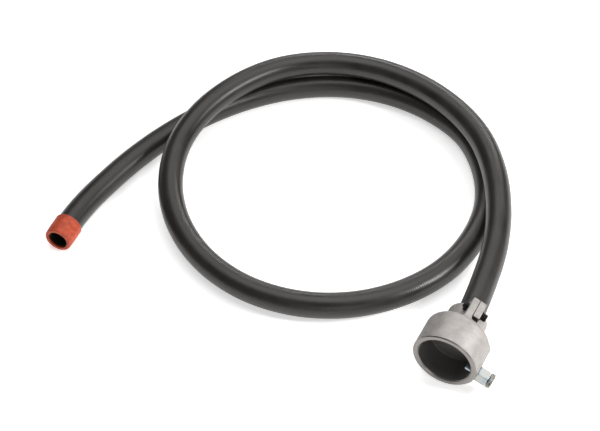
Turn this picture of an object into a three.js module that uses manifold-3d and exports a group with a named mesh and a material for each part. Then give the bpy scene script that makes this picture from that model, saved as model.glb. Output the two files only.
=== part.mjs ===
// Heavy rubber hose with a slip-on cup coupling at one end and a coloured end sleeve at the other.
// Units are millimetres and +Z is up. The cup opens towards -Y and the hose leaves towards +Y.
// The coupling lies on its side on the ground, and the hose makes one and a half turns beside it.

import * as THREE from "three";
import { ConvexGeometry } from "three/addons/geometries/ConvexGeometry.js";
import { mergeVertices } from "three/addons/utils/BufferGeometryUtils.js";
import Module from "manifold-3d";

const wasm = await Module();
wasm.setup();

// ---- Driving dimensions ----------------------------------------------------------------------

const GAP = 0.3; // running clearance between neighbouring pieces

const HOSE_RADIUS = 17.5;
const HOSE_BORE = 12.5;
const HOSE_SIDES = 12;
const HOSE_STEPS = 78;

const CUP_RADIUS = 42.5;
const CUP_BORE = 35;
const CUP_DEPTH = 37;
const CUP_LENGTH = 51;
const SHOULDER = 9; // radius that rounds the back of the cup
const MOUTH_CHAMFER = 1.5;
const LIP_BORE = 13.5; // the ring that stops the hose end
const LIP_DEPTH = 2.5;

const COLLAR_RADIUS = 26.5;
const COLLAR_END = 81; // the coupling's whole length, from the mouth
const COLLAR_ROUND = 5;
const COLLAR_BORE = HOSE_RADIUS + GAP;

const ROLL = THREE.MathUtils.degToRad(19); // how far the coupling is rolled about its own axis
const EAR_WIDTH = 9.5;
const EAR_TOP = 40;
const EAR_FRONT = 54.5;
const SPLIT = 1; // gap between the two ears
const CROSS_SLOT = 2.9; // cut that frees the clamping half from the cup
const CROSS_SLOT_FOOT = -14; // how far down the side that cut reaches

const SCREW_RISE = 31; // clamp screw axis above the coupling axis
const SCREW_Y = 68;
const SCREW_RADIUS = 3; // M6
const SCREW_HOLE = 3.4;
const SCREW_HEAD_RADIUS = 5;
const SCREW_HEAD = 6;
const SCREW_TIP = -16.5;
const SOCKET_FLATS = 5;
const SOCKET_DEPTH = 3;
const WASHER_RADIUS = 5.9;
const WASHER = 1.6;
const NUT_FLATS = 10;
const NUT = 5;

const PAD_HEIGHT = 43.3; // flat that the plunger is screwed into
const PAD_HALF_WIDTH = 10.5;
const PAD_END = 47.5;
const PLUNGER_Y = 12.7;
const HEX_FLATS = 19; // both the plunger's body and its knob
const HEX_CORNERS = HEX_FLATS / Math.sqrt(3);
const HOUSING_TURN = THREE.MathUtils.degToRad(40);
const KNOB_TURN = THREE.MathUtils.degToRad(29);
const NOSE_RADIUS = 4;
const NOSE_END = 26.4; // from the coupling axis
const NOSE_HOLE = 4.4;
const THREAD_FLOOR = 37.5;
const THREAD_BORE = 8; // M16
const HOUSING_STEM = 7.7;
const HOUSING_END = 58.1;
const NECK_RADIUS = 6.6;
const NECK_END = 58.9;
const CHAMBER = 6;
const CHAMBER_END = 56.2;
const ROD_RADIUS = 2.5;
const FLANGE_RADIUS = 5.6;
const FLANGE = 3;
const KNOB_START = 59.3;
const KNOB_END = 64.6;
const ROLL_PIN_RADIUS = 1.2;
const SPRING_TURNS = 6.5;
const SPRING_WIRE = 0.5;
const SPRING_RADIUS = 4.4;

const FERRULE_RADIUS = HOSE_BORE - GAP;
const FERRULE_WALL = 1.2;
const FERRULE_END = 78;
const FERRULE_FLANGE_RADIUS = 17;
const FERRULE_START = CUP_DEPTH + LIP_DEPTH + GAP;

const SLEEVE_LENGTH = 32.5;
const SLEEVE_RADIUS = 19.6;
const SLEEVE_FRONT_RADIUS = 18.9;
const SLEEVE_BORE = HOSE_RADIUS + 0.4;
const SLEEVE_LIP_BORE = 13.8;
const SLEEVE_LIP = 3.3;

const HOSE_START = FERRULE_START + FERRULE_WALL + GAP;

// The hose's centreline, from inside the collar to its far end, with heights above the ground.
const ROUTE = [
  [0, HOSE_START, 42.5], [0, 66, 42.5], [0, 90, 42.5], [-3, 128, 43.5], [-13, 199, 46],
  [-34, 268, 49.5], [-67, 333, 52.5], [-112, 389, 53.5], [-170, 429.5, 53.3], [-238, 453.2, 53.2],
  [-309, 456.2, 53.2], [-377.5, 436, 53.2], [-435, 392, 54], [-473, 331, 53], [-493.5, 261, 48.5],
  [-493, 190, 41], [-468, 123, 33], [-423, 68, 26], [-362.5, 29.5, 21], [-293, 12, 18.5],
  [-221, 18, 17.6], [-155, 47, 17.6], [-102, 96, 17.6], [-67, 159, 17.6], [-54, 230, 17.6],
  [-62, 301, 17.6], [-93, 366, 17.6], [-142.5, 418.5, 17.6], [-209, 446.5, 17.6], [-281, 452.8, 17.6],
  [-350, 437, 17.6], [-412, 401, 17.6], [-463, 350, 17.6], [-503, 289, 17.6], [-531, 222, 17.6],
  [-549, 152, 18], [-558.5, 81, 18.8], [-560.5, 40, 19.5], [-559.5, 8, 19.7], [-556, -28, 19.7],
];

// ---- Materials -------------------------------------------------------------------------------

const finish = (color, roughness, metalness) =>
  new THREE.MeshStandardMaterial({ color, roughness, metalness });

const castAluminium = () => finish(0xb9b5b2, 0.55, 0.85);
const blackRubber = () => finish(0x2b2a2c, 0.5, 0);
const orangePlastic = () => finish(0xcc5539, 0.55, 0);
const blackOxideSteel = () => finish(0x1d1b1c, 0.45, 0.7);
const zincPlatedSteel = () => finish(0xc3cad0, 0.3, 0.9);
const springSteel = () => finish(0x9a9da0, 0.3, 1);

// ---- Shapes ----------------------------------------------------------------------------------

// Points of a quarter round, from one angle to another in degrees.
function arc(x, y, radius, from, to, steps = 6) {
  return Array.from({ length: steps + 1 }, (_, i) => {
    const a = THREE.MathUtils.degToRad(from + ((to - from) * i) / steps);
    return [x + radius * Math.cos(a), y + radius * Math.sin(a)];
  });
}

// A turned piece about Y, from [radius, y] points that start and end on the axis.
function turned(points, segments = 72) {
  return new THREE.LatheGeometry(points.map(([r, y]) => new THREE.Vector2(r, y)), segments);
}

// A turned ring about Y, from [radius, y] points that run once round its section.
function turnedRing(points, segments = 48) {
  return turned([...points, points[0]], segments);
}

// A cylinder along X between two distances from the coupling axis.
function pegAlongX(radius, from, to, segments = 32) {
  const peg = new THREE.CylinderGeometry(radius, radius, to - from, segments);
  return peg.rotateZ(-Math.PI / 2).translate((from + to) / 2, 0, 0);
}

// A box from its lowest and highest corners.
function block(x0, x1, y0, y1, z0, z1) {
  const box = new THREE.BoxGeometry(x1 - x0, y1 - y0, z1 - z0);
  return box.translate((x0 + x1) / 2, (y0 + y1) / 2, (z0 + z1) / 2);
}

// A six-sided bar about Y with its corners turned off at the marked ends.
function hexagon(from, to, turn, chamferFrom, chamferTo) {
  const bar = new THREE.CylinderGeometry(HEX_CORNERS, HEX_CORNERS, to - from, 6);
  bar.rotateY(turn).translate(0, (from + to) / 2, 0);
  const clear = HEX_CORNERS + 0.1;
  const trimmed = HEX_FLATS / 2 - 0.1;
  const drop = (clear - trimmed) * Math.tan(Math.PI / 6);
  const turning = turned([
    [0, from],
    [chamferFrom ? trimmed : clear, from],
    ...(chamferFrom ? [[clear, from + drop]] : []),
    ...(chamferTo ? [[clear, to - drop]] : []),
    [chamferTo ? trimmed : clear, to],
    [0, to],
  ], 48);
  return solid(bar).intersect(solid(turning));
}

// A closed solid that can be cut and joined.
function solid(geometry) {
  const bare = geometry.clone();
  bare.deleteAttribute("normal");
  bare.deleteAttribute("uv");
  const merged = mergeVertices(bare, 1e-4);
  return new wasm.Manifold(new wasm.Mesh({
    numProp: 3,
    vertProperties: new Float32Array(merged.attributes.position.array),
    triVerts: new Uint32Array(merged.index.array),
  }));
}

// The mesh geometry of a solid that has been cut or joined.
function surface(body) {
  const mesh = body.getMesh();
  const geometry = new THREE.BufferGeometry();
  geometry.setAttribute("position", new THREE.BufferAttribute(mesh.vertProperties, 3));
  geometry.setIndex(new THREE.BufferAttribute(mesh.triVerts, 1));
  geometry.computeVertexNormals();
  return geometry;
}

function named(name, geometry, material, parent) {
  const mesh = new THREE.Mesh(geometry, material);
  mesh.name = name;
  parent.add(mesh);
  return mesh;
}

const model = new THREE.Group();
const coupling = new THREE.Group();
coupling.rotation.y = ROLL;
coupling.position.z = CUP_RADIUS;
model.add(coupling);

// ---- Coupling body: one casting with the cup, the pad, the collar and its two ears -----------

const castOutside = turned([
  [0, 0],
  [CUP_RADIUS - 0.8, 0],
  [CUP_RADIUS, 0.8],
  ...arc(CUP_RADIUS - SHOULDER, CUP_LENGTH - SHOULDER, SHOULDER, 0, 90),
  ...arc(COLLAR_RADIUS + 5, CUP_LENGTH + 5, 5, 270, 180, 5),
  ...arc(COLLAR_RADIUS - COLLAR_ROUND, COLLAR_END - COLLAR_ROUND, COLLAR_ROUND, 0, 90, 5),
  [0, COLLAR_END],
]);

const castInside = turned([
  [0, -1],
  [CUP_BORE + MOUTH_CHAMFER + 1, -1],
  [CUP_BORE, MOUTH_CHAMFER],
  ...arc(CUP_BORE - 1.5, CUP_DEPTH - 1.5, 1.5, 0, 90, 3),
  [LIP_BORE, CUP_DEPTH],
  [LIP_BORE, CUP_DEPTH + LIP_DEPTH],
  [COLLAR_BORE, CUP_DEPTH + LIP_DEPTH],
  [COLLAR_BORE, COLLAR_END + 1],
  [0, COLLAR_END + 1],
]);

// The pad's sides run tangent into the cup and its shoulder, as a moulder would blend them.
function padBody() {
  const blend = [
    [CUP_RADIUS, 0.8],
    ...arc(CUP_RADIUS - SHOULDER, CUP_LENGTH - SHOULDER, SHOULDER, 0, 90),
  ];
  const points = [];
  for (let degrees = -50; degrees <= 50; degrees += 5) {
    const angle = THREE.MathUtils.degToRad(degrees);
    for (const [radius, y] of blend) {
      const r = radius - 0.05;
      points.push(new THREE.Vector3(r * Math.cos(angle), y, r * Math.sin(angle)));
    }
  }
  for (const side of [-PAD_HALF_WIDTH, PAD_HALF_WIDTH]) {
    points.push(new THREE.Vector3(PAD_HEIGHT, 0, side));
    points.push(new THREE.Vector3(PAD_HEIGHT, PAD_END, side));
  }
  return solid(new ConvexGeometry(points));
}

// The fixed ear runs forward into the cup's shoulder, and the clamping ear stops at the cross slot.
const fixedEar = solid(block(-EAR_WIDTH, 0, 46, COLLAR_END, 10, EAR_TOP));
const clampingEar = solid(block(-1, EAR_WIDTH, EAR_FRONT, COLLAR_END, 10, EAR_TOP));
const split = solid(block(-SPLIT / 2, SPLIT / 2, EAR_FRONT - CROSS_SLOT, COLLAR_END + 1, 5, 50));
const crossSlot = solid(
  block(-SPLIT / 2, 50, EAR_FRONT - CROSS_SLOT, EAR_FRONT, CROSS_SLOT_FOOT, 50));
const screwHole = solid(pegAlongX(SCREW_HOLE, -20, 20).translate(0, SCREW_Y, SCREW_RISE));
const noseHole = solid(pegAlongX(NOSE_HOLE, 30, THREAD_FLOOR + 1).translate(0, PLUNGER_Y, 0));
const threadBore = solid(pegAlongX(THREAD_BORE, THREAD_FLOOR, 50).translate(0, PLUNGER_Y, 0));

const casting = solid(castOutside)
  .add(padBody())
  .add(fixedEar)
  .add(clampingEar)
  .subtract(solid(castInside))
  .subtract(split)
  .subtract(crossSlot)
  .subtract(screwHole)
  .subtract(noseHole)
  .subtract(threadBore);
named("coupling_body", surface(casting), castAluminium(), coupling);

// ---- Ferrule: flanged steel tube that keeps the hose round under the clamp ---------------------

const ferrule = turnedRing([
  [FERRULE_RADIUS - FERRULE_WALL, FERRULE_START],
  [FERRULE_FLANGE_RADIUS, FERRULE_START],
  [FERRULE_FLANGE_RADIUS, FERRULE_START + FERRULE_WALL],
  [FERRULE_RADIUS, FERRULE_START + FERRULE_WALL],
  [FERRULE_RADIUS, FERRULE_END],
  [FERRULE_RADIUS - FERRULE_WALL, FERRULE_END],
]);
named("hose_ferrule", ferrule, zincPlatedSteel(), coupling);

// ---- Clamp screw, washer and nut: along the coupling's own X, through both ears ---------------

const screwLine = new THREE.Group();
screwLine.position.set(0, SCREW_Y, SCREW_RISE);
coupling.add(screwLine);

const washerStart = EAR_WIDTH + GAP;
const headStart = washerStart + WASHER + GAP;
const headEnd = headStart + SCREW_HEAD;
const socket = pegAlongX(SOCKET_FLATS / Math.sqrt(3), headEnd - SOCKET_DEPTH, headEnd + 1, 6);
const screw = solid(pegAlongX(SCREW_HEAD_RADIUS, headStart, headEnd))
  .add(solid(pegAlongX(SCREW_RADIUS, SCREW_TIP, headStart + 1)))
  .subtract(solid(socket));
named("clamp_screw", surface(screw), blackOxideSteel(), screwLine);

const clearHole = solid(pegAlongX(SCREW_RADIUS + GAP, -30, 30));
const washer = solid(pegAlongX(WASHER_RADIUS, washerStart, washerStart + WASHER));
named("clamp_washer", surface(washer.subtract(clearHole)), blackOxideSteel(), screwLine);

const nutStart = -EAR_WIDTH - GAP - NUT;
const nut = solid(pegAlongX(NUT_FLATS / Math.sqrt(3), nutStart, nutStart + NUT, 6));
named("clamp_nut", surface(nut.subtract(clearHole)), blackOxideSteel(), screwLine);

// ---- Spring plunger: along the coupling's own X, through the pad ------------------------------

// Its pieces are turned about Y and then laid along X, so Y here is the distance from the axis.
const plungerLine = new THREE.Group();
plungerLine.rotation.z = -Math.PI / 2;
plungerLine.position.set(0, PLUNGER_Y, 0);
coupling.add(plungerLine);

const housingStart = THREAD_FLOOR + GAP;
const housingSeat = PAD_HEIGHT + GAP;
const stem = solid(turned([
  [0, housingStart],
  [HOUSING_STEM, housingStart],
  [HOUSING_STEM, housingSeat + 1],
  [0, housingSeat + 1],
], 36));
const neck = solid(turned([
  [0, HOUSING_END - 1],
  [NECK_RADIUS, HOUSING_END - 1],
  [NECK_RADIUS, NECK_END],
  [0, NECK_END],
], 36));
const springChamber = solid(turned([
  [0, housingStart - 1],
  [CHAMBER, housingStart - 1],
  [CHAMBER, CHAMBER_END],
  [ROD_RADIUS + GAP, CHAMBER_END],
  [ROD_RADIUS + GAP, NECK_END + 1],
  [0, NECK_END + 1],
], 36));
const housing = hexagon(housingSeat, HOUSING_END, HOUSING_TURN, true, true)
  .add(stem)
  .add(neck)
  .subtract(springChamber);
named("plunger_housing", surface(housing), zincPlatedSteel(), plungerLine);

const flangeStart = THREAD_FLOOR + GAP;
const rodEnd = KNOB_END - 0.8;
const rollPinTurn = KNOB_TURN - Math.PI / 3; // square to a pair of the knob's flats
const crossHole = pegAlongX(ROLL_PIN_RADIUS + GAP, -HEX_FLATS, HEX_FLATS, 12);
const pinRise = (KNOB_START + KNOB_END) / 2;
crossHole.rotateY(rollPinTurn).translate(0, pinRise, 0);
const pin = solid(turned([
  [0, NOSE_END],
  [NOSE_RADIUS - 1, NOSE_END],
  [NOSE_RADIUS, NOSE_END + 1],
  [NOSE_RADIUS, flangeStart],
  [FLANGE_RADIUS, flangeStart],
  [FLANGE_RADIUS, flangeStart + FLANGE],
  [ROD_RADIUS, flangeStart + FLANGE],
  [ROD_RADIUS, rodEnd],
  [0, rodEnd],
], 32)).subtract(solid(crossHole));
named("plunger_pin", surface(pin), zincPlatedSteel(), plungerLine);

// A six-sided pull knob, bored for the rod.
const rodBore = new THREE.CylinderGeometry(ROD_RADIUS + GAP, ROD_RADIUS + GAP, 10, 24);
rodBore.translate(0, rodEnd + GAP - 5, 0);
const knob = hexagon(KNOB_START, KNOB_END, KNOB_TURN, false, true)
  .subtract(solid(rodBore))
  .subtract(solid(crossHole));
named("plunger_knob", surface(knob), zincPlatedSteel(), plungerLine);

// A split pin, rolled from strip, holds the knob on the rod.
const strip = new THREE.Shape();
strip.absarc(0, 0, ROLL_PIN_RADIUS, 0.3, 2 * Math.PI - 0.3, false);
strip.absarc(0, 0, ROLL_PIN_RADIUS - 0.45, 2 * Math.PI - 0.5, 0.5, true);
strip.closePath();
const rollPinLength = HEX_FLATS - 1.6;
const rollPin = new THREE.ExtrudeGeometry(strip, {
  depth: rollPinLength,
  bevelEnabled: false,
  curveSegments: 10,
});
rollPin.translate(0, 0, -rollPinLength / 2).rotateY(Math.PI / 2 + rollPinTurn);
rollPin.translate(0, pinRise, 0);
named("plunger_roll_pin", rollPin, springSteel(), plungerLine);

// A compression spring between the flange and the end of its chamber.
class Coil extends THREE.Curve {
  getPoint(t) {
    const angle = t * SPRING_TURNS * 2 * Math.PI;
    const low = flangeStart + FLANGE + GAP + SPRING_WIRE;
    const high = CHAMBER_END - GAP - SPRING_WIRE;
    return new THREE.Vector3(
      SPRING_RADIUS * Math.cos(angle), low + (high - low) * t, SPRING_RADIUS * Math.sin(angle));
  }
}
const wire = new THREE.Shape(new THREE.EllipseCurve(0, 0, SPRING_WIRE, SPRING_WIRE).getPoints(6)
  .slice(0, 6));
const spring = new THREE.ExtrudeGeometry(wire, { extrudePath: new Coil(), steps: 84 });
named("plunger_spring", spring, springSteel(), plungerLine);

// ---- Hose: rubber tube from the collar round to the end sleeve --------------------------------

function ring(radius, sides) {
  return Array.from({ length: sides }, (_, i) => {
    const a = ((i + 0.5) / sides) * 2 * Math.PI;
    return new THREE.Vector2(radius * Math.cos(a), radius * Math.sin(a));
  });
}

const centreline = new THREE.CatmullRomCurve3(
  ROUTE.map(([x, y, z]) => new THREE.Vector3(x, y, z)), false, "centripetal");
centreline.arcLengthDivisions = 1000;
const section = new THREE.Shape(ring(HOSE_RADIUS, HOSE_SIDES));
section.holes.push(new THREE.Path(ring(HOSE_BORE / Math.cos(Math.PI / HOSE_SIDES), HOSE_SIDES)));
const hose = new THREE.ExtrudeGeometry(section, { extrudePath: centreline, steps: HOSE_STEPS });
named("hose", hose, blackRubber(), model);

// ---- End sleeve: moulded cap with an open front, pushed over the hose's far end ----------------

const hoseEnd = centreline.getPointAt(1);
const sleeveBack = centreline.getPointAt(1 - (SLEEVE_LENGTH - SLEEVE_LIP) / centreline.getLength());
const inward = sleeveBack.clone().sub(hoseEnd).normalize();
const sleeve = named("end_sleeve", turnedRing([
  [SLEEVE_LIP_BORE, 0],
  [SLEEVE_FRONT_RADIUS - 1.2, 0],
  [SLEEVE_FRONT_RADIUS - 0.3, 0.4],
  [SLEEVE_FRONT_RADIUS, 1.4],
  [SLEEVE_RADIUS, 12],
  [SLEEVE_RADIUS, SLEEVE_LENGTH - 0.5],
  [SLEEVE_RADIUS - 0.4, SLEEVE_LENGTH],
  [SLEEVE_BORE, SLEEVE_LENGTH],
  [SLEEVE_BORE, SLEEVE_LIP],
  [SLEEVE_LIP_BORE, SLEEVE_LIP],
]), orangePlastic(), model);
sleeve.quaternion.setFromUnitVectors(new THREE.Vector3(0, 1, 0), inward);
sleeve.position.copy(hoseEnd).addScaledVector(inward, -(SLEEVE_LIP + GAP));

// ---- Origin: under the middle of the coupling, on the surface that it lies on ------------------

model.updateMatrixWorld(true);
const box = new THREE.Box3().setFromObject(coupling, true);
const middle = box.getCenter(new THREE.Vector3());
model.position.set(-middle.x, -middle.y, -box.min.z);

export default model;
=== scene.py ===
import itertools
import math

import bmesh
import bpy
import numpy as np
from mathutils import Matrix, Vector, noise


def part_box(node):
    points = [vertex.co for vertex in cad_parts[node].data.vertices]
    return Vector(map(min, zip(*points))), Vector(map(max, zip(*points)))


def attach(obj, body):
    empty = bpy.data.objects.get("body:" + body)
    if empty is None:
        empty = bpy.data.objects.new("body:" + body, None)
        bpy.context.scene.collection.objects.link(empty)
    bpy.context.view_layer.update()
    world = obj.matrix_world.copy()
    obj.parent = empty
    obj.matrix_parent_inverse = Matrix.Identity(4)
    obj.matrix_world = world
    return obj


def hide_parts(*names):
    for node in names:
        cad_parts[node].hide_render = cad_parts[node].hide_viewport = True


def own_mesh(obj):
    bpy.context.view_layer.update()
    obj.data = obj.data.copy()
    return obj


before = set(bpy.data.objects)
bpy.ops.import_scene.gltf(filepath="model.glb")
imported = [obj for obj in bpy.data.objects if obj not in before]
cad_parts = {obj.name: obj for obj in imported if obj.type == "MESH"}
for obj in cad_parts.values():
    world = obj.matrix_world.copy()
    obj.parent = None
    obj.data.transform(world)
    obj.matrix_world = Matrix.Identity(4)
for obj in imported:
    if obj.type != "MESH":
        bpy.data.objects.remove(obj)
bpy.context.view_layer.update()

# ---- Camera ----------------------------------------------------------------------------------
# A moderately long lens, two metres away and looking down at the hose. It stands on the side
# that the cup opens to, so that the rim, the bore and the plunger's nose all show.

EYE = Vector((0.3289, -1.0916, 1.4315))
LOOKS_AT = Vector((-0.3029, 0.1379, 0.0))

camera = bpy.data.objects.new("camera", bpy.data.cameras.new("camera"))
camera.data.lens = 85
camera.data.sensor_width = 36
camera.data.clip_start = 0.05
camera.location = EYE
camera.rotation_euler = (LOOKS_AT - EYE).to_track_quat("-Z", "Y").to_euler()
bpy.context.scene.collection.objects.link(camera)
bpy.context.scene.camera = camera

# ---- Hose ------------------------------------------------------------------------------------
# Rubber suction hose, 25 mm bore and 35 mm outside, built up on a mandrel over textile plies.
# It is cured under a wound tape, which leaves shallow ribs round it at the pitch of the tape.
# One end sits in the coupling's collar. From there it makes one and a half turns on the ground.

HOSE_RADIUS = 0.0175
HOSE_BORE_RADIUS = 0.0125
RIB_PITCH = 0.0031
RIB_DEPTH = 0.00019
RINGS_PER_RIB = 4
HOSE_SIDES = 44
BORE_RING_EVERY = 12  # the plain bore needs fewer rings than the ribbed outside
ROUTE_SPAN_POINTS = 60

# The centreline from inside the collar to the far end, in millimetres: aside from the coupling's
# axis, back from the cup's mouth, and up from the ground.
COUPLING_AXIS_HEIGHT = 0.0425
ROUTE_MM = [
    (0, 41.3, 42.5), (0, 66, 42.5), (0, 90, 42.5), (-3, 128, 43.5), (-13, 199, 46),
    (-34, 268, 49.5), (-67, 333, 52.5), (-112, 389, 53.5), (-170, 429.5, 53.3), (-238, 453.2, 53.2),
    (-309, 456.2, 53.2), (-377.5, 436, 53.2), (-435, 392, 54), (-473, 331, 53), (-493.5, 261, 48.5),
    (-493, 190, 41), (-468, 123, 33), (-423, 68, 26), (-362.5, 29.5, 21), (-293, 12, 18.5),
    (-221, 18, 17.6), (-155, 47, 17.6), (-102, 96, 17.6), (-67, 159, 17.6), (-54, 230, 17.6),
    (-62, 301, 17.6), (-93, 366, 17.6), (-142.5, 418.5, 17.6), (-209, 446.5, 17.6),
    (-281, 452.8, 17.6), (-350, 437, 17.6), (-412, 401, 17.6), (-463, 350, 17.6), (-503, 289, 17.6),
    (-531, 222, 17.6), (-549, 152, 18), (-558.5, 81, 18.8), (-560.5, 40, 19.5),
    (-559.5, 8, 19.7), (-556, -28, 19.7),
]

ferrule_low, ferrule_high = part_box("hose_ferrule")
mouth_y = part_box("coupling_body")[0][1]
axis_x = (ferrule_low[0] + ferrule_high[0]) / 2
axis_z = (ferrule_low[2] + ferrule_high[2]) / 2
route = np.array(ROUTE_MM) / 1000 + (axis_x, mouth_y, axis_z - COUPLING_AXIS_HEIGHT)


def smooth_line(points, per_span):
    """A centripetal Catmull-Rom line through the points."""
    padded = np.vstack([2 * points[0] - points[1], points, 2 * points[-1] - points[-2]])
    gaps = np.sqrt(np.linalg.norm(np.diff(padded, axis=0), axis=1))
    line = []
    for i in range(len(points) - 1):
        p0, p1, p2, p3 = padded[i:i + 4]
        t1, t2, t3 = np.cumsum(gaps[i:i + 3])
        t = np.linspace(t1, t2, per_span, endpoint=False)[:, None]
        a1 = (t1 - t) / t1 * p0 + t / t1 * p1
        a2 = (t2 - t) / (t2 - t1) * p1 + (t - t1) / (t2 - t1) * p2
        a3 = (t3 - t) / (t3 - t2) * p2 + (t - t2) / (t3 - t2) * p3
        b1 = (t2 - t) / t2 * a1 + t / t2 * a2
        b2 = (t3 - t) / (t3 - t1) * a2 + (t - t1) / (t3 - t1) * a3
        line.append((t2 - t) / (t2 - t1) * b1 + (t - t1) / (t2 - t1) * b2)
    return np.vstack([*line, points[-1]])


def evenly(line, step):
    """The same line with points an even step apart, and how far along it each one is."""
    along = np.concatenate([[0], np.cumsum(np.linalg.norm(np.diff(line, axis=0), axis=1))])
    places = np.linspace(0, along[-1], round(along[-1] / step) + 1)
    return np.stack([np.interp(places, along, line[:, k]) for k in range(3)], axis=1), places


def rings_along(line, radii, sides):
    """Rings of points square to the line. The line lies nearly flat, so +Z guides their turn."""
    ahead = np.gradient(line, axis=0)
    ahead /= np.linalg.norm(ahead, axis=1)[:, None]
    aside = np.cross(ahead, (0, 0, 1))
    aside /= np.linalg.norm(aside, axis=1)[:, None]
    up = np.cross(aside, ahead)
    turn = np.linspace(0, 2 * math.pi, sides, endpoint=False)
    out = np.cos(turn)[None, :, None] * aside[:, None] + np.sin(turn)[None, :, None] * up[:, None]
    return line[:, None] + out * np.broadcast_to(radii, out.shape[:2])[..., None]


def skin(first, rings, sides, inward=False):
    """Quads between rings of points that are numbered from first."""
    ring, side = np.meshgrid(np.arange(rings - 1), np.arange(sides), indexing="ij")
    here = first + ring * sides
    beside = (side + 1) % sides
    quads = np.stack([here + side, here + beside, here + sides + beside, here + sides + side], -1)
    quads = quads.reshape(-1, 4)
    return quads[:, ::-1] if inward else quads


def new_piece(name, points, faces, place=None, smooth_below=30):
    """A mesh object at the origin, with its shape moved to its place."""
    mesh = bpy.data.meshes.new(name)
    mesh.from_pydata([tuple(p) for p in points], [], [tuple(map(int, f)) for f in faces])
    if place is not None:
        mesh.transform(place)
    mesh.polygons.foreach_set("use_smooth", [True] * len(mesh.polygons))
    mesh.set_sharp_from_angle(angle=math.radians(smooth_below))
    piece = bpy.data.objects.new(name, mesh)
    bpy.context.scene.collection.objects.link(piece)
    return piece


def hose_tube():
    """The hose and its centreline. The tape was wound on, so the ribs run as one long helix."""
    line, along = evenly(smooth_line(route, ROUTE_SPAN_POINTS), RIB_PITCH / RINGS_PER_RIB)
    turn = np.linspace(0, 1, HOSE_SIDES, endpoint=False)
    rib = 0.5 + 0.5 * np.cos(2 * math.pi * (along[:, None] / RIB_PITCH + turn[None, :]))
    outside = rings_along(line, HOSE_RADIUS - RIB_DEPTH * (1 - rib), HOSE_SIDES)
    bore_line = np.vstack([line[:-1:BORE_RING_EVERY], line[-1]])
    bore = rings_along(bore_line, HOSE_BORE_RADIUS, HOSE_SIDES)
    points = np.vstack([outside.reshape(-1, 3), bore.reshape(-1, 3)])
    start = len(line) * HOSE_SIDES
    around = np.arange(HOSE_SIDES)
    beside = (around + 1) % HOSE_SIDES
    near_end = np.stack([start + around, start + beside, beside, around], -1)
    last_out = start - HOSE_SIDES
    last_in = len(points) - HOSE_SIDES
    far_end = np.stack(
        [last_out + around, last_out + beside, last_in + beside, last_in + around], -1)
    faces = np.vstack([
        skin(0, len(line), HOSE_SIDES),
        skin(start, len(bore_line), HOSE_SIDES, inward=True),
        near_end,
        far_end,
    ])
    return new_piece("rubber_hose", points, faces), line


def srgb(code):
    """A hex colour as the linear values that a shader takes."""
    parts = [int(code[i:i + 2], 16) / 255 for i in (1, 3, 5)]
    return (*[c / 12.92 if c <= 0.04045 else ((c + 0.055) / 1.055) ** 2.4 for c in parts], 1)


def add_node(tree, kind, settings, sockets):
    """Adds a node. A socket, named or numbered, takes a plain value or another node's output."""
    node = tree.nodes.new(kind)
    for name, value in settings.items():
        setattr(node, name, value)
    for key, value in sockets.items():
        if isinstance(value, bpy.types.NodeSocket):
            tree.links.new(value, node.inputs[key])
        else:
            node.inputs[key].default_value = value
    return node


def new_material(name):
    """An empty material, its node tree and the object coordinates that its patterns use."""
    material = bpy.data.materials.new(name)
    material.use_nodes = True
    tree = material.node_tree
    tree.nodes.clear()
    place = add_node(tree, "ShaderNodeTexCoord", {}, {}).outputs["Object"]
    return material, tree, place


def surface_out(tree, shader):
    """Connects a shader to the surface of its material."""
    add_node(tree, "ShaderNodeOutputMaterial", {}, {"Surface": shader.outputs["BSDF"]})


def ramp(tree, value, stops):
    """A colour ramp from (position, hex colour) stops."""
    node = add_node(tree, "ShaderNodeValToRGB", {}, {"Fac": value})
    elements = node.color_ramp.elements
    while len(elements) < len(stops):
        elements.new(0.5)
    for element, (position, code) in zip(elements, stops):
        element.position = position
        element.color = srgb(code)
    return node.outputs["Color"]


def wrapped_rubber():
    """Cured black rubber: near black and satin, so that it shows long soft highlights, with a
    dull dusty bloom. Its moulded grain is drawn coarser than real, so that it shows."""
    material, tree, place = new_material("wrapped_black_rubber")
    bloom = add_node(tree, "ShaderNodeTexNoise", {}, {
        "Vector": place, "Scale": 1 / 0.045, "Detail": 5.0, "Roughness": 0.6}).outputs["Fac"]
    grain = add_node(tree, "ShaderNodeTexNoise", {}, {
        "Vector": place, "Scale": 1 / 0.0012, "Detail": 3.0}).outputs["Fac"]
    gloss = add_node(tree, "ShaderNodeMapRange", {}, {
        "Value": bloom, "From Min": 0.3, "From Max": 0.7, "To Min": 0.30, "To Max": 0.42})
    relief = add_node(tree, "ShaderNodeBump", {}, {
        "Strength": 0.25, "Distance": 0.0001, "Height": grain})
    shader = add_node(tree, "ShaderNodeBsdfPrincipled", {}, {
        "Base Color": ramp(tree, bloom, [(0.3, "#1a1715"), (0.7, "#272320")]),
        "Roughness": gloss.outputs["Result"],
        "IOR": 1.52,
        "Normal": relief.outputs["Normal"],
    })
    surface_out(tree, shader)
    return material


def finish(piece, material, body, node):
    """Gives a piece its material, the body that it moves with and the node that it stands for."""
    if material:
        piece.data.materials.append(material)
    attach(piece, body)
    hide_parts(node)


hose, hose_line = hose_tube()
finish(hose, wrapped_rubber(), "coupling", "hose")

# ---- End sleeve ------------------------------------------------------------------------------
# Soft vinyl sleeve, dip moulded in a bright colour so that the open end is easy to find. It is
# pushed over the hose end as far as its own front lip, and it stays on by its grip.

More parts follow.
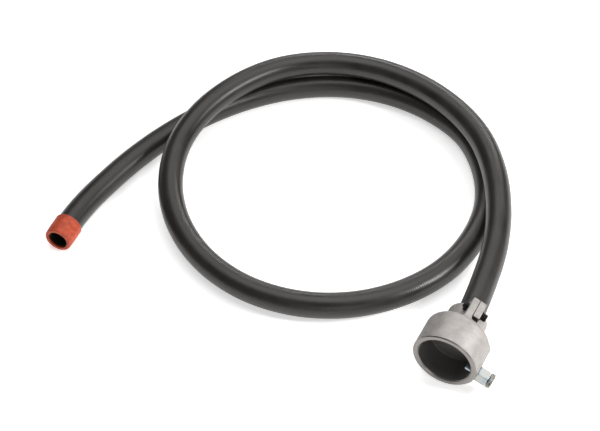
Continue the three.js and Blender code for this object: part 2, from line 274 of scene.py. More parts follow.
SLEEVE_LENGTH = 0.0325
SLEEVE_LIP = 0.0033
SLEEVE_EDGE = 0.0008
SLEEVE_GAP = 0.0003
SLEEVE_OUTLINE = [  # radius and distance behind the front, once round the section
    (0.0138, 0.0), (0.0180, 0.0), (0.0189, 0.0016), (0.0192, 0.0060), (0.0194, 0.0120),
    (0.0194, 0.0300), (0.0196, 0.0306), (0.0196, SLEEVE_LENGTH), (0.0179, SLEEVE_LENGTH),
    (0.0179, SLEEVE_LIP), (0.0138, SLEEVE_LIP),
]


def eased(corners, radius, steps=4):
    """Rounds the corners of a closed outline."""
    corners = [Vector(c) for c in corners]
    line = []
    for i, corner in enumerate(corners):
        before = corners[i - 1] - corner
        after = corners[(i + 1) % len(corners)] - corner
        reach = min(radius, 0.48 * before.length, 0.48 * after.length)
        start = corner + before.normalized() * reach
        end = corner + after.normalized() * reach
        for k in range(steps + 1):
            t = k / steps
            line.append(start * (1 - t) ** 2 + corner * 2 * t * (1 - t) + end * t ** 2)
    return line


def turned(name, outline, place=None, segments=96, closed=True, smooth_below=30):
    """Sweeps a (radius, along) outline round its own Y. A radius may be one number or one for
    each segment, as on a hexagon. An outline that isn't closed starts and ends on the axis."""
    turn = np.linspace(0, 2 * math.pi, segments, endpoint=False)
    points = np.array([
        np.stack([np.sin(turn) * r, np.full(segments, y), np.cos(turn) * r], -1)
        for r, y in outline]).reshape(-1, 3)
    faces = skin(0, len(outline), segments)
    if closed:
        side = np.arange(segments)
        beside = (side + 1) % segments
        last = (len(outline) - 1) * segments
        faces = np.vstack([faces, np.stack([last + side, last + beside, beside, side], -1)])
    piece = new_piece(name, points, faces, place, smooth_below)
    tidy = bmesh.new()
    tidy.from_mesh(piece.data)
    bmesh.ops.remove_doubles(tidy, verts=tidy.verts, dist=1e-7)
    bmesh.ops.recalc_face_normals(tidy, faces=tidy.faces)
    tidy.to_mesh(piece.data)
    tidy.free()
    piece.data.set_sharp_from_angle(angle=math.radians(smooth_below))
    return piece


def dipped_vinyl():
    """Dip-moulded soft vinyl: strong orange-red, half matt, a little mottled by handling, with
    a slightly pebbled skin that breaks up its highlights."""
    material, tree, place = new_material("dipped_vinyl")
    mottle = add_node(tree, "ShaderNodeTexNoise", {}, {
        "Vector": place, "Scale": 1 / 0.006, "Detail": 4.0}).outputs["Fac"]
    skin_relief = add_node(tree, "ShaderNodeTexNoise", {}, {
        "Vector": place, "Scale": 1 / 0.0015, "Detail": 2.0}).outputs["Fac"]
    relief = add_node(tree, "ShaderNodeBump", {}, {
        "Strength": 0.3, "Distance": 0.0003, "Height": skin_relief})
    shader = add_node(tree, "ShaderNodeBsdfPrincipled", {}, {
        "Base Color": ramp(tree, mottle, [(0.35, "#a23a1d"), (0.65, "#c34a21")]),
        "Roughness": 0.58,
        "IOR": 1.5,
        "Normal": relief.outputs["Normal"],
    })
    surface_out(tree, shader)
    return material


hose_end = Vector(hose_line[-1])
to_end = np.linalg.norm(hose_line - hose_line[-1], axis=1)
sleeve_back = int(np.searchsorted(-to_end, SLEEVE_LIP - SLEEVE_LENGTH))
inward = (Vector(hose_line[sleeve_back]) - hose_end).normalized()
sleeve_place = (
    Matrix.Translation(hose_end - inward * (SLEEVE_LIP + SLEEVE_GAP))
    @ Vector((0, 1, 0)).rotation_difference(inward).to_matrix().to_4x4()
)
sleeve = turned("vinyl_end_sleeve", eased(SLEEVE_OUTLINE, SLEEVE_EDGE), sleeve_place)
finish(sleeve, dipped_vinyl(), "coupling", "end_sleeve")

# ---- Ferrule ---------------------------------------------------------------------------------
# Thin flanged steel tube, pressed and zinc plated. It goes into the hose's end before clamping,
# so that the collar has something firm to squeeze the rubber against.

COUPLING_TURN = math.radians(19)  # the clamped ears lean over, away from upright
coupling_place = Matrix.Translation((axis_x, mouth_y, axis_z)) @ Matrix.Rotation(
    COUPLING_TURN, 4, "Y")
FERRULE_EDGE = 0.0003
FERRULE_OUTLINE = [  # radius and distance behind the cup's mouth, once round the section
    (0.0110, 0.0398), (0.0170, 0.0398), (0.0170, 0.0410), (0.0122, 0.0410), (0.0122, 0.078),
    (0.0110, 0.078),
]


def bright_zinc():
    """Bright zinc plate on turned steel: smooth and mirror-like at some angles, with the faint
    blue and straw tints of its passivation."""
    material, tree, place = new_material("bright_zinc_plate")
    tint = add_node(tree, "ShaderNodeTexNoise", {}, {
        "Vector": place, "Scale": 1 / 0.008, "Detail": 3.0}).outputs["Fac"]
    wear = add_node(tree, "ShaderNodeTexNoise", {}, {
        "Vector": place, "Scale": 1 / 0.0015, "Detail": 3.0}).outputs["Fac"]
    gloss = add_node(tree, "ShaderNodeMapRange", {}, {
        "Value": wear, "From Min": 0.35, "From Max": 0.65, "To Min": 0.28, "To Max": 0.4})
    relief = add_node(tree, "ShaderNodeBump", {}, {
        "Strength": 0.1, "Distance": 0.00003, "Height": wear})
    shader = add_node(tree, "ShaderNodeBsdfPrincipled", {}, {
        "Base Color": ramp(tree, tint, [(0.35, "#99a6af"), (0.5, "#abafaf"), (0.65, "#afaa99")]),
        "Metallic": 1.0,
        "Roughness": gloss.outputs["Result"],
        "Normal": relief.outputs["Normal"],
    })
    surface_out(tree, shader)
    return material


zinc = bright_zinc()
ferrule = turned("pressed_ferrule", eased(FERRULE_OUTLINE, FERRULE_EDGE), coupling_place)
finish(ferrule, zinc, "coupling", "hose_ferrule")

# ---- Coupling body ---------------------------------------------------------------------------
# One aluminium casting, poured in sand: the cup, a flat pad for the plunger, and a collar with
# two ears. The rim and the bore are turned afterwards. Then the collar is split and drilled.

CUP_RADIUS = 0.0425
CUP_BORE = 0.035
CUP_DEPTH = 0.037
CUP_LENGTH = 0.051
SHOULDER = 0.009
COLLAR_RADIUS = 0.0265
COLLAR_BORE = 0.0177
COLLAR_END = 0.081
COLLAR_ROUND = 0.005
FOOT_ROUND = 0.005
EAR_WIDTH = 0.0095
EAR_TOP = 0.040
EAR_FRONT = 0.0545
FIXED_EAR_FRONT = 0.046
EAR_BOTTOM = 0.018
EAR_FOOT_TOP = 0.0285
EAR_FOOT_HEIGHT = 0.0035
EAR_FLARE = 0.003
EAR_OVERLAP = 0.0006  # the ears are cast as one, and the saw parts them
SAWN_OFF = 0.002  # cast in front of the clamping ear, then lost in the cross slot
CROSS_SLOT = 0.0029
CROSS_SLOT_BOTTOM = -0.014
SLIT_HALF_WIDTH = 0.0005
SLIT_BOTTOM = 0.005
PAST_THE_EARS = 0.05
PAST_THE_COLLAR = 0.09
PAST_THE_SCREW = 0.02
PAST_THE_PAD = 0.05
INSIDE_THE_BORE = 0.03
SCREW_RISE = 0.031
SCREW_Y = 0.068
SCREW_HOLE_RADIUS = 0.0034
PAD_HEIGHT = 0.0433
PAD_HALF_WIDTH = 0.0105
PAD_END = 0.0475
PAD_WRAP = 50  # degrees of the cup that the pad blends into, on each side
PLUNGER_Y = 0.0127
PLUNGER_HOLE_RADIUS = 0.008
PLUNGER_HOLE_BOTTOM = 0.0375
NOSE_HOLE_RADIUS = 0.0044
OVERRUN = 0.003  # cast past the mouth, then turned off
CAST_WAVE, CAST_WAVE_HEIGHT = 0.006, 0.00008
CAST_GRIT, CAST_GRIT_HEIGHT = 0.0018, 0.00003
SAND_GRIT = 0.0017  # foundry sand is about 0.3 mm; it is drawn coarser so that it shows


def quarter(x, y, radius, start, end, steps=8):
    """Points of a quarter round from one angle to another, in degrees."""
    turn = np.radians(np.linspace(start, end, steps + 1))
    return [(x + radius * math.cos(a), y + radius * math.sin(a)) for a in turn]


def hull(name, points):
    """The closed skin round a cloud of points."""
    cloud = bmesh.new()
    for point in points:
        cloud.verts.new(point)
    found = bmesh.ops.convex_hull(cloud, input=cloud.verts)
    inside = {item for item in found["geom_interior"] if isinstance(item, bmesh.types.BMVert)}
    bmesh.ops.delete(cloud, geom=list(inside), context="VERTS")
    mesh = bpy.data.meshes.new(name)
    cloud.to_mesh(mesh)
    cloud.free()
    piece = bpy.data.objects.new(name, mesh)
    bpy.context.scene.collection.objects.link(piece)
    return piece


def block(name, low, high):
    """A plain box between two corners."""
    return hull(name, itertools.product(*zip(low, high)))


def ear(name, inner, outer, front):
    """A flat-sided ear with a foot that flares out into the collar."""
    sections = []
    for height in np.linspace(EAR_BOTTOM, EAR_TOP, 12):
        foot = max(0.0, (EAR_FOOT_TOP - height) / EAR_FOOT_HEIGHT)
        flare = EAR_FLARE * (1 - math.sqrt(max(0.0, 1 - min(foot, 1) ** 2)))
        wide = outer + math.copysign(flare, outer)
        sections.append([
            (inner, front - flare, height), (wide, front - flare, height),
            (wide, COLLAR_END, height), (inner, COLLAR_END, height)])
    points = [corner for section in sections for corner in section]
    count = len(sections)
    faces = [
        (4 * i + k, 4 * i + (k + 1) % 4, 4 * i + 4 + (k + 1) % 4, 4 * i + 4 + k)
        for i in range(count - 1) for k in range(4)]
    faces += [(3, 2, 1, 0), (4 * count - 4, 4 * count - 3, 4 * count - 2, 4 * count - 1)]
    return new_piece(name, points, faces)


def applied(piece):
    """Makes the result of a piece's modifiers its own mesh."""
    seen = piece.evaluated_get(bpy.context.evaluated_depsgraph_get())
    mesh = bpy.data.meshes.new_from_object(seen)
    piece.modifiers.clear()
    piece.data = mesh


def joined(name, pieces):
    """One object that holds the skins of several."""
    gathered = bmesh.new()
    for piece in pieces:
        gathered.from_mesh(piece.data)
        bpy.data.objects.remove(piece)
    mesh = bpy.data.meshes.new(name)
    gathered.to_mesh(mesh)
    gathered.free()
    piece = bpy.data.objects.new(name, mesh)
    bpy.context.scene.collection.objects.link(piece)
    return piece


def cut(piece, cutter, material):
    """Cuts one closed shape out of another. The new faces take the given material."""
    cutter.data.materials.append(material)
    bpy.context.view_layer.update()
    boolean = piece.modifiers.new("cut", "BOOLEAN")
    boolean.solver = "MANIFOLD"
    boolean.operation = "DIFFERENCE"
    boolean.material_mode = "TRANSFER"
    boolean.object = cutter
    applied(piece)
    bpy.data.objects.remove(cutter)


def raw_casting():
    """The casting as it leaves the sand: round edges, blended feet and a slightly uneven skin."""
    cup_side = [(CUP_RADIUS, -OVERRUN)] + quarter(
        CUP_RADIUS - SHOULDER, CUP_LENGTH - SHOULDER, SHOULDER, 0, 90)
    outside = turned("rough_cup", [
        (0, -OVERRUN),
        *cup_side,
        *quarter(COLLAR_RADIUS + FOOT_ROUND, CUP_LENGTH + FOOT_ROUND, FOOT_ROUND, 270, 180),
        *quarter(COLLAR_RADIUS - COLLAR_ROUND, COLLAR_END - COLLAR_ROUND, COLLAR_ROUND, 0, 90),
        (0, COLLAR_END),
    ], segments=160, closed=False)
    cloud = [
        (r * math.cos(a), y, r * math.sin(a))
        for a in np.radians(np.arange(-PAD_WRAP, PAD_WRAP + 1, 4)) for r, y in cup_side]
    cloud += [(PAD_HEIGHT, y, side) for y in (-OVERRUN, PAD_END)
              for side in (-PAD_HALF_WIDTH, PAD_HALF_WIDTH)]
    casting = joined("cast_coupling_body", [
        outside,
        hull("pad", cloud),
        ear("fixed_ear", EAR_OVERLAP, -EAR_WIDTH, FIXED_EAR_FRONT),
        ear("clamping_ear", -EAR_OVERLAP, EAR_WIDTH, EAR_FRONT - SAWN_OFF),
    ])
    remesh = casting.modifiers.new("skin", "REMESH")
    remesh.mode = "VOXEL"
    remesh.voxel_size = 0.0008
    smooth = casting.modifiers.new("sand", "SMOOTH")
    smooth.factor = 0.5
    smooth.iterations = 7
    applied(casting)
    points = np.empty(3 * len(casting.data.vertices), np.float32)
    normals = np.empty_like(points)
    casting.data.vertices.foreach_get("co", points)
    casting.data.vertices.foreach_get("normal", normals)
    swell = np.array([
        noise.noise(Vector(p) / CAST_WAVE) * CAST_WAVE_HEIGHT
        + noise.noise(Vector(p) / CAST_GRIT) * CAST_GRIT_HEIGHT
        for p in points.reshape(-1, 3)])
    casting.data.vertices.foreach_set("co", points + normals * np.repeat(swell, 3))
    return casting


def sand_cast():
    """Sand-cast aluminium: light warm grey and matt, with the grain of the sand that it was
    poured in and faint darker staining from handling."""
    material, tree, place = new_material("sand_cast_aluminium")
    stain = add_node(tree, "ShaderNodeTexNoise", {}, {
        "Vector": place, "Scale": 1 / 0.012, "Detail": 8.0, "Roughness": 0.75}).outputs["Fac"]
    grain = add_node(tree, "ShaderNodeTexNoise", {}, {
        "Vector": place, "Scale": 1 / SAND_GRIT, "Detail": 3.0}).outputs["Fac"]
    gloss = add_node(tree, "ShaderNodeMapRange", {}, {
        "Value": grain, "From Min": 0.35, "From Max": 0.65, "To Min": 0.5, "To Max": 0.62})
    relief = add_node(tree, "ShaderNodeBump", {}, {
        "Strength": 0.8, "Distance": 0.00035, "Height": grain})
    shader = add_node(tree, "ShaderNodeBsdfPrincipled", {}, {
        "Base Color": ramp(tree, stain, [(0.35, "#9c9794"), (0.65, "#b1ada9")]),
        "Metallic": 0.75,
        "Roughness": gloss.outputs["Result"],
        "Normal": relief.outputs["Normal"],
    })
    surface_out(tree, shader)
    return material


def turned_metal(name, low, high, metallic, roughness):
    """Lathe-turned aluminium: fine rings round the coupling's axis catch the light in arcs. The
    tool's marks are 0.5 mm apart, drawn coarser than real, so that they show."""
    material, tree, place = new_material(name)
    from_axis = add_node(tree, "ShaderNodeVectorMath", {"operation": "SUBTRACT"}, {
        0: place, 1: (axis_x, 0.0, axis_z)}).outputs["Vector"]
    apart = add_node(tree, "ShaderNodeSeparateXYZ", {}, {0: from_axis})
    flat = add_node(tree, "ShaderNodeCombineXYZ", {}, {
        "X": apart.outputs["X"], "Z": apart.outputs["Z"]})
    radius = add_node(tree, "ShaderNodeVectorMath", {"operation": "LENGTH"}, {
        0: flat.outputs["Vector"]}).outputs["Value"]
    depth = add_node(tree, "ShaderNodeMath", {"operation": "ADD"}, {
        0: radius, 1: apart.outputs["Y"]}).outputs["Value"]
    rings = add_node(tree, "ShaderNodeTexNoise", {"noise_dimensions": "1D"}, {
        "W": depth, "Scale": 1 / 0.0005, "Detail": 2.0}).outputs["Fac"]
    relief = add_node(tree, "ShaderNodeBump", {}, {
        "Strength": 0.3, "Distance": 0.0001, "Height": rings})
    shader = add_node(tree, "ShaderNodeBsdfPrincipled", {}, {
        "Base Color": ramp(tree, rings, [(0.35, low), (0.65, high)]),
        "Metallic": metallic,
        "Roughness": roughness,
        "Normal": relief.outputs["Normal"],
    })
    surface_out(tree, shader)
    return material


def across(radius, start, end, y, z=0.0, sides=48):
    """A round cutter along the coupling's X, between two distances from its axis."""
    place = Matrix.Translation((0, y, z)) @ Matrix.Rotation(math.radians(-90), 4, "Z")
    outline = [(0, start), (radius, start), (radius, end), (0, end)]
    return turned("drill", outline, place, sides, closed=False)


casting = raw_casting()
casting.data.materials.append(sand_cast())
turned_rim = turned_metal("turned_aluminium_rim", "#75716e", "#918d8a", 0.85, 0.36)
# The bore and the nose hole take a darker copy of the rim's turned metal: painted shade for the
# inside of the cup, where little light reaches.
shaded_turned_bore = turned_metal("turned_bore_painted_shade", "#5f5c59", "#76726e", 0.4, 0.5)
RIM_EDGE = 0.0012
MOUTH_EDGE = 0.0015
CORNER = 0.0015
PASSAGE_RADIUS = 0.0135
HOSE_STOP = 0.0395
TOOL_OUT = 0.001
FACING_FRONT = -0.008
FACING_REACH = 0.060
BORE_SIDES = 192
facing_tool = [
    (0, FACING_FRONT), (FACING_REACH, FACING_FRONT),
    (FACING_REACH, FACING_REACH - CUP_RADIUS + RIM_EDGE),
    (CUP_RADIUS - RIM_EDGE, 0), (CUP_BORE + MOUTH_EDGE, 0),
    (CUP_BORE - TOOL_OUT, MOUTH_EDGE + TOOL_OUT), (0, MOUTH_EDGE + TOOL_OUT)]
boring_tool = [
    (0, -TOOL_OUT), (CUP_BORE, -TOOL_OUT),
    *quarter(CUP_BORE - CORNER, CUP_DEPTH - CORNER, CORNER, 0, 90, 4),
    (PASSAGE_RADIUS, CUP_DEPTH), (PASSAGE_RADIUS, HOSE_STOP), (COLLAR_BORE, HOSE_STOP),
    (COLLAR_BORE, COLLAR_END + TOOL_OUT), (0, COLLAR_END + TOOL_OUT)]
slitting_saw = block(
    "slitting_saw", (-SLIT_HALF_WIDTH, EAR_FRONT - CROSS_SLOT, SLIT_BOTTOM),
    (SLIT_HALF_WIDTH, PAST_THE_COLLAR, PAST_THE_EARS))
cross_saw = block(
    "cross_saw", (-SLIT_HALF_WIDTH, EAR_FRONT - CROSS_SLOT, CROSS_SLOT_BOTTOM),
    (PAST_THE_EARS, EAR_FRONT, PAST_THE_EARS))
screw_drill = across(SCREW_HOLE_RADIUS, -PAST_THE_SCREW, PAST_THE_SCREW, SCREW_Y, SCREW_RISE)
nose_drill = across(
    NOSE_HOLE_RADIUS, INSIDE_THE_BORE, PLUNGER_HOLE_BOTTOM + TOOL_OUT, PLUNGER_Y)
plunger_drill = across(PLUNGER_HOLE_RADIUS, PLUNGER_HOLE_BOTTOM, PAST_THE_PAD, PLUNGER_Y)
for cutter, new_face in [
        (turned("facing_tool", facing_tool, None, BORE_SIDES, closed=False), turned_rim),
        (turned("boring_tool", boring_tool, None, BORE_SIDES, closed=False), shaded_turned_bore),
        (slitting_saw, turned_rim),
        (cross_saw, turned_rim),
        (screw_drill, turned_rim),
        (nose_drill, shaded_turned_bore),
        (plunger_drill, turned_rim)]:
    cut(casting, cutter, new_face)
casting.data.transform(coupling_place)
casting.data.polygons.foreach_set("use_smooth", [True] * len(casting.data.polygons))
casting.data.set_sharp_from_angle(angle=math.radians(35))
finish(casting, None, "coupling", "coupling_body")

# ---- Clamp screw, washer and nut -------------------------------------------------------------
# Blackened M6 socket cap screw across both ears, with a plain washer under its head and a
# hexagon nut on the far ear. Tightening it closes the collar on the hose.

SCREW_RADIUS = 0.003
THREAD_PITCH = 0.001
THREAD_DEPTH = 0.0006
SCREW_HEAD_RADIUS = 0.005
SCREW_HEAD = 0.006
SCREW_TIP = -0.0165
SOCKET_FLATS = 0.005
SOCKET_DEPTH = 0.003
SOCKET_POINT = 0.0012
KNURLS = 40
KNURL_DEPTH = 0.00012
WASHER_RADIUS = 0.0059
WASHER = 0.0016
WASHER_EDGE = 0.0003
NUT_FLATS = 0.010
NUT = 0.005
NUT_FACE_RADIUS = 0.0048
NUT_CHAMFER = 0.0007
NUT_COUNTERSINK = 0.0037
NUT_TURN = math.radians(15)
SEAT_GAP = 0.0003
screw_place = (
    coupling_place @ Matrix.Translation((0, SCREW_Y, SCREW_RISE))
    @ Matrix.Rotation(math.radians(-90), 4, "Z"))


def hexagon(flats, sides):
    """The distance from centre to edge of a hexagon, for each of a number of even turns."""
    turn = np.linspace(0, 360, sides, endpoint=False)
    return flats / 2 / np.cos(np.radians(turn % 60 - 30))


def socket_screw():
    """The screw with a helical thread, a knurled head and a hexagon socket with a conical end."""
    sides = KNURLS * 6
    turn = np.linspace(0, 1, sides, endpoint=False)
    knurl = KNURL_DEPTH * (0.5 - 0.5 * np.cos(2 * math.pi * KNURLS * turn))
    under = EAR_WIDTH + WASHER + 2 * SEAT_GAP
    top = under + SCREW_HEAD
    outline = [(0, SCREW_TIP), (SCREW_RADIUS - THREAD_DEPTH - 0.0002, SCREW_TIP)]
    for along in np.arange(SCREW_TIP + 0.0004, under - 0.001, THREAD_PITCH / 8):
        wound = (along / THREAD_PITCH + turn) % 1
        outline.append((SCREW_RADIUS - THREAD_DEPTH * np.abs(2 * wound - 1), along))
    socket = hexagon(SOCKET_FLATS, sides)
    outline += [
        (SCREW_RADIUS, under - 0.0004), (SCREW_RADIUS, under),
        (SCREW_HEAD_RADIUS - 0.0003, under), (SCREW_HEAD_RADIUS, under + 0.0003),
        (SCREW_HEAD_RADIUS, under + 0.0008), (SCREW_HEAD_RADIUS - knurl, under + 0.0011),
        (SCREW_HEAD_RADIUS - knurl, top - 0.0009), (SCREW_HEAD_RADIUS, top - 0.0007),
        (SCREW_HEAD_RADIUS - 0.0002, top - 0.0002), (SCREW_HEAD_RADIUS - 0.0006, top),
        (socket + 0.0002, top), (socket, top - 0.0002), (socket, top - SOCKET_DEPTH),
        (0, top - SOCKET_DEPTH - SOCKET_POINT)]
    return turned("socket_cap_screw", outline, screw_place, sides, closed=False)


def hexagon_nut():
    """The nut with its corners turned off at both faces and a countersunk thread."""
    sides = 120
    flats = hexagon(NUT_FLATS, sides)
    start = -EAR_WIDTH - SEAT_GAP - NUT
    turned_off = [
        (np.minimum(flats, NUT_FACE_RADIUS + c * 1.8), c) for c in np.linspace(0, NUT_CHAMFER, 5)]
    outline = [(r, start + c) for r, c in turned_off]
    outline += [(r, start + NUT - c) for r, c in turned_off[::-1]]
    outline += [
        (NUT_COUNTERSINK, start + NUT), (SCREW_RADIUS + 0.0001, start + NUT - 0.0006),
        (SCREW_RADIUS + 0.0001, start + 0.0006), (NUT_COUNTERSINK, start)]
    return turned("hexagon_nut", outline, screw_place @ Matrix.Rotation(NUT_TURN, 4, "Y"), sides)


def black_oxide():
    """Chemically blackened steel: near black and slightly oily, and greyer on worn edges."""
    material, tree, place = new_material("black_oxide_steel")
    patch = add_node(tree, "ShaderNodeTexNoise", {}, {
        "Vector": place, "Scale": 1 / 0.004, "Detail": 3.0}).outputs["Fac"]
    edge = add_node(tree, "ShaderNodeNewGeometry", {}, {}).outputs["Pointiness"]
    worn = add_node(tree, "ShaderNodeMapRange", {}, {
        "Value": edge, "From Min": 0.53, "From Max": 0.6, "To Min": 0.0, "To Max": 0.5})
    colour = add_node(tree, "ShaderNodeMix", {"data_type": "RGBA"}, {
        0: worn.outputs["Result"],
        6: ramp(tree, patch, [(0.3, "#161516"), (0.7, "#232122")]),
        7: srgb("#5a5756")}).outputs[2]
    shader = add_node(tree, "ShaderNodeBsdfPrincipled", {}, {
        "Base Color": colour,
        "Metallic": 0.8,
        "Roughness": 0.4,
    })
    surface_out(tree, shader)
    return material


black_steel = black_oxide()
finish(socket_screw(), black_steel, "coupling", "clamp_screw")
washer_start = EAR_WIDTH + SEAT_GAP
washer_outline = [
    (SCREW_RADIUS + 0.0003, washer_start), (WASHER_RADIUS, washer_start),
    (WASHER_RADIUS, washer_start + WASHER), (SCREW_RADIUS + 0.0003, washer_start + WASHER)]
washer = turned("plain_washer", eased(washer_outline, WASHER_EDGE), screw_place)
finish(washer, black_steel, "coupling", "clamp_washer")
finish(hexagon_nut(), black_steel, "coupling", "clamp_nut")

# ---- Plunger housing -------------------------------------------------------------------------
# Zinc-plated hexagon body, screwed into the pad. It is drilled from the inside for the spring,
# and its outer end has a short neck with the hole that guides the plunger's rod.

HEX_FLATS = 0.019
HEX_CORNERS = HEX_FLATS / math.sqrt(3)
HEX_SIDES = 120
CORNER_DROP = 0.0009
HOUSING_TURN = math.radians(40)
HOUSING_START = 0.0378
HOUSING_SEAT = PAD_HEIGHT + SEAT_GAP
HOUSING_END = 0.0581
NECK_END = 0.0589
CHAMBER_END = 0.0562
CHAMBER_RADIUS = 0.0060
NECK_RADIUS = 0.0066
HOUSING_THREAD_RADIUS = 0.0077
ROD_HOLE = 0.0028
plunger_place = (
    coupling_place @ Matrix.Translation((0, PLUNGER_Y, 0))
    @ Matrix.Rotation(math.radians(-90), 4, "Z"))


def hexagon_bar(start, end, chamfer_start, chamfer_end):
    """Outline of a hexagon bar whose corners are turned off at one end or at both."""
    flats = np.minimum(hexagon(HEX_FLATS, HEX_SIDES), HEX_CORNERS - 0.00015)
    steps = np.linspace(0, 1, 6)
    face = HEX_FLATS / 2 - 0.0003
    reach = HEX_CORNERS - face
    turned_off = [(np.minimum(flats, face + reach * t), CORNER_DROP * t) for t in steps]
    if chamfer_start:
        outline = [(r, start + drop) for r, drop in turned_off]
    else:
        outline = [(flats - 0.0002, start), (flats, start + 0.0002)]
    if chamfer_end:
        outline += [(r, end - drop) for r, drop in turned_off[::-1]]
    else:
        outline += [(flats, end - 0.0002), (flats - 0.0002, end)]
    return outline


housing_outline = [
    (CHAMBER_RADIUS, HOUSING_START), (HOUSING_THREAD_RADIUS - 0.0003, HOUSING_START),
    (HOUSING_THREAD_RADIUS, HOUSING_START + 0.0004), (HOUSING_THREAD_RADIUS, HOUSING_SEAT),
    *hexagon_bar(HOUSING_SEAT, HOUSING_END, True, True),
    (NECK_RADIUS, HOUSING_END), (NECK_RADIUS, NECK_END - 0.0002), (NECK_RADIUS - 0.0002, NECK_END),
    (ROD_HOLE + 0.0003, NECK_END), (ROD_HOLE, NECK_END - 0.0003), (ROD_HOLE, CHAMBER_END),
    (CHAMBER_RADIUS, CHAMBER_END)]
housing = turned(
    "hexagon_plunger_body", housing_outline,
    plunger_place @ Matrix.Rotation(HOUSING_TURN, 4, "Y"), HEX_SIDES)
finish(housing, zinc, "coupling", "plunger_housing")

# ---- Plunger pin, spring, knob and roll pin --------------------------------------------------
# The pin's nose stands into the cup and latches behind a boss. A spring in the body pushes on
# the pin's flange. The knob is held on the rod by a roll pin, and pulling it draws the nose in.

NOSE_RADIUS = 0.004
NOSE_END = 0.0264
FLANGE_RADIUS = 0.0056
FLANGE = 0.003
ROD_RADIUS = 0.0025
KNOB_START = 0.0593
KNOB_END = 0.0646
KNOB_TURN = math.radians(29)
ROLL_PIN_RADIUS = 0.0012
ROLL_PIN_BORE = 0.00075
ROLL_PIN_GAP = 0.3  # half of the open slot, as an angle in radians
CROSS_HOLE_RADIUS = 0.0014
SPRING_WIRE = 0.0005  # its radius
SPRING_RADIUS = 0.0044
SPRING_TURNS = 6.5
pin_rise = (KNOB_START + KNOB_END) / 2
flange_end = HOUSING_START + FLANGE
pin_outline = [
    (0, NOSE_END), (NOSE_RADIUS - 0.0012, NOSE_END), (NOSE_RADIUS - 0.0004, NOSE_END + 0.0004),
    (NOSE_RADIUS, NOSE_END + 0.0012), (NOSE_RADIUS, HOUSING_START),
    (FLANGE_RADIUS - 0.0002, HOUSING_START), (FLANGE_RADIUS, HOUSING_START + 0.0002),
    (FLANGE_RADIUS, flange_end - 0.0002), (FLANGE_RADIUS - 0.0002, flange_end),
    (ROD_RADIUS, flange_end), (ROD_RADIUS, KNOB_END - 0.0011),
    (ROD_RADIUS - 0.0003, KNOB_END - 0.0008), (0, KNOB_END - 0.0008)]
pin = turned("latch_pin", pin_outline, plunger_place, closed=False)
finish(pin, zinc, "plunger", "plunger_pin")

knob_outline = [
    (0, KNOB_END), (0.0040, KNOB_END),
    *hexagon_bar(KNOB_START, KNOB_END, False, True)[::-1],
    (ROD_HOLE, KNOB_START), (ROD_HOLE, KNOB_END - 0.0005), (0, KNOB_END - 0.0005)]
knob = turned(
    "hexagon_pull_knob", knob_outline, plunger_place @ Matrix.Rotation(KNOB_TURN, 4, "Y"),
    HEX_SIDES, closed=False)
cross_turn = KNOB_TURN - math.pi / 3
cross_place = (
    plunger_place @ Matrix.Translation((0, pin_rise, 0)) @ Matrix.Rotation(cross_turn, 4, "Y")
    @ Matrix.Rotation(math.radians(-90), 4, "Z"))
cross_drill = [
    (0, -HEX_FLATS), (CROSS_HOLE_RADIUS, -HEX_FLATS), (CROSS_HOLE_RADIUS, HEX_FLATS),
    (0, HEX_FLATS)]
finish(knob, zinc, "plunger", "plunger_knob")
for drilled in (knob, pin):
    cut(drilled, turned("cross_drill", cross_drill, cross_place, 32, closed=False), zinc)
    drilled.data.set_sharp_from_angle(angle=math.radians(30))


def rolled_pin():
    """Spring-steel strip rolled into a split tube, with its two ends turned in a little."""
    opening = np.linspace(ROLL_PIN_GAP, 2 * math.pi - ROLL_PIN_GAP, 33)
    half = HEX_FLATS / 2 - 0.0008
    points = []
    stations = [(-half, 0.85), (-half + 0.0005, 1.0), (half - 0.0005, 1.0), (half, 0.85)]
    for along, share in stations:
        for radius, angles in ((ROLL_PIN_RADIUS, opening), (ROLL_PIN_BORE, opening[::-1])):
            points += [
                (radius * share * math.cos(a), along, radius * share * math.sin(a))
                for a in angles]
    sides = 2 * len(opening)
    faces = [tuple(f) for f in skin(0, len(stations), sides)]
    last = (len(stations) - 1) * sides
    for k in range(len(opening) - 1):
        inner = sides - 1 - k
        faces.append((k, k + 1, inner - 1, inner))
        faces.append((last + inner, last + inner - 1, last + k + 1, last + k))
    return new_piece("spring_roll_pin", points, faces, cross_place, 40)


def spring_wire_steel():
    """Drawn spring wire: bare grey steel, lightly oiled, with faint brighter patches."""
    material, tree, place = new_material("drawn_spring_steel")
    streak = add_node(tree, "ShaderNodeTexNoise", {}, {
        "Vector": place, "Scale": 1 / 0.0008, "Detail": 3.0}).outputs["Fac"]
    shader = add_node(tree, "ShaderNodeBsdfPrincipled", {}, {
        "Base Color": ramp(tree, streak, [(0.35, "#8d8f92"), (0.65, "#b2b4b6")]),
        "Metallic": 1.0,
        "Roughness": 0.3,
    })
    surface_out(tree, shader)
    return material


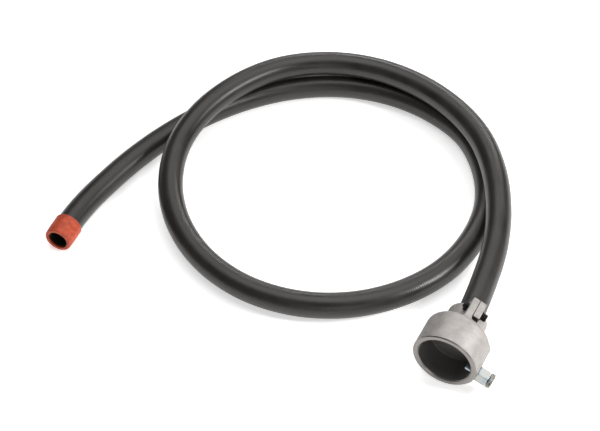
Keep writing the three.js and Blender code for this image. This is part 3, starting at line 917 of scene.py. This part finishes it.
def compression_spring():
    """A coil with its last turn at each end wound almost flat, so that it seats square, and
    the place that it is held at, which is the end of its chamber."""
    low = flange_end + SEAT_GAP + SPRING_WIRE
    high = CHAMBER_END - SEAT_GAP - SPRING_WIRE
    turns = np.linspace(0, SPRING_TURNS, int(SPRING_TURNS * 40) + 1)
    closing = 0.75
    climb = np.clip((turns - closing) / (SPRING_TURNS - 2 * closing), 0, 1)
    flat = 2.2 * SPRING_WIRE
    share = flat / (high - low)
    climb = climb * (1 - 2 * share) + share * np.clip(turns / closing, 0, 1) + share * np.clip(
        (turns - SPRING_TURNS + closing) / closing, 0, 1)
    line = np.stack([
        SPRING_RADIUS * np.cos(2 * math.pi * turns), SPRING_RADIUS * np.sin(2 * math.pi * turns),
        low + (high - low) * climb], axis=1)
    sides = 14
    points = rings_along(line, np.full((len(line), 1), SPRING_WIRE), sides).reshape(-1, 3)
    faces = [tuple(f) for f in skin(0, len(line), sides)]
    faces += [tuple(range(sides))[::-1], tuple(len(points) - sides + k for k in range(sides))]
    place = (
        coupling_place @ Matrix.Translation((0, PLUNGER_Y, 0))
        @ Matrix.Rotation(math.radians(90), 4, "Y"))
    seat = place @ Vector((0, 0, CHAMBER_END))
    return new_piece("compression_spring", points, faces, place), seat


spring_steel = spring_wire_steel()
finish(rolled_pin(), spring_steel, "plunger", "plunger_roll_pin")
spring, spring_seat = compression_spring()
finish(spring, spring_steel, "coupling", "plunger_spring")
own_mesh(spring)

# ---- Studio ----------------------------------------------------------------------------------
# A wide pale floor that is lit a little from below, under a large dim box overhead. A small box
# on the right and a long strip behind draw the highlights along the hose.


def lit_acrylic():
    """White acrylic sheet lit from below, which keeps the shadows on it faint."""
    material, tree, place = new_material("backlit_white_acrylic")
    unevenness = add_node(tree, "ShaderNodeTexNoise", {}, {
        "Vector": place, "Scale": 1.5, "Detail": 2.0}).outputs["Fac"]
    shader = add_node(tree, "ShaderNodeBsdfPrincipled", {}, {
        "Base Color": ramp(tree, unevenness, [(0.3, "#f4f3f2"), (0.7, "#f8f7f6")]),
        "Roughness": 0.8,
        "Emission Color": srgb("#ffffff"),
        "Emission Strength": 0.55,
    })
    surface_out(tree, shader)
    return material


FLOOR_HALF = 6.0
FLOOR_SPLITS = 12
grid = np.linspace(-FLOOR_HALF, FLOOR_HALF, FLOOR_SPLITS + 1)
floor_points = [(x, y, 0.0) for y in grid for x in grid]
corners = [r * len(grid) + c for r in range(FLOOR_SPLITS) for c in range(FLOOR_SPLITS)]
floor_faces = [(k, k + 1, k + len(grid) + 1, k + len(grid)) for k in corners]
floor = new_piece("floor", floor_points, floor_faces)
floor.data.materials.append(lit_acrylic())

world = bpy.data.worlds.new("studio")
world.use_nodes = True
world.node_tree.nodes["Background"].inputs["Color"].default_value = srgb("#f4f5f8")
world.node_tree.nodes["Background"].inputs["Strength"].default_value = 0.15
bpy.context.scene.world = world


def soft_box(name, place, target, width, height, watts):
    """A rectangular diffused studio light."""
    lamp = bpy.data.lights.new(name, "AREA")
    lamp.shape = "RECTANGLE"
    lamp.size = width
    lamp.size_y = height
    lamp.energy = watts
    light = bpy.data.objects.new(name, lamp)
    light.location = place
    light.rotation_euler = (Vector(target) - Vector(place)).to_track_quat("-Z", "Y").to_euler()
    bpy.context.scene.collection.objects.link(light)


HOSE_MIDDLE = (-0.27, 0.18, 0.0)
soft_box("overhead_box", (-0.3, 0.5, 2.2), HOSE_MIDDLE, 2.6, 2.0, 36)
soft_box("right_box", (1.15, 0.37, 0.95), HOSE_MIDDLE, 0.35, 0.35, 19)
soft_box("front_fill", (0.9, -1.4, 0.8), HOSE_MIDDLE, 0.7, 0.7, 4)
soft_box("back_strip", (-0.6, 1.8, 0.9), HOSE_MIDDLE, 1.6, 0.25, 12)
bpy.context.scene.view_settings.view_transform = "Standard"
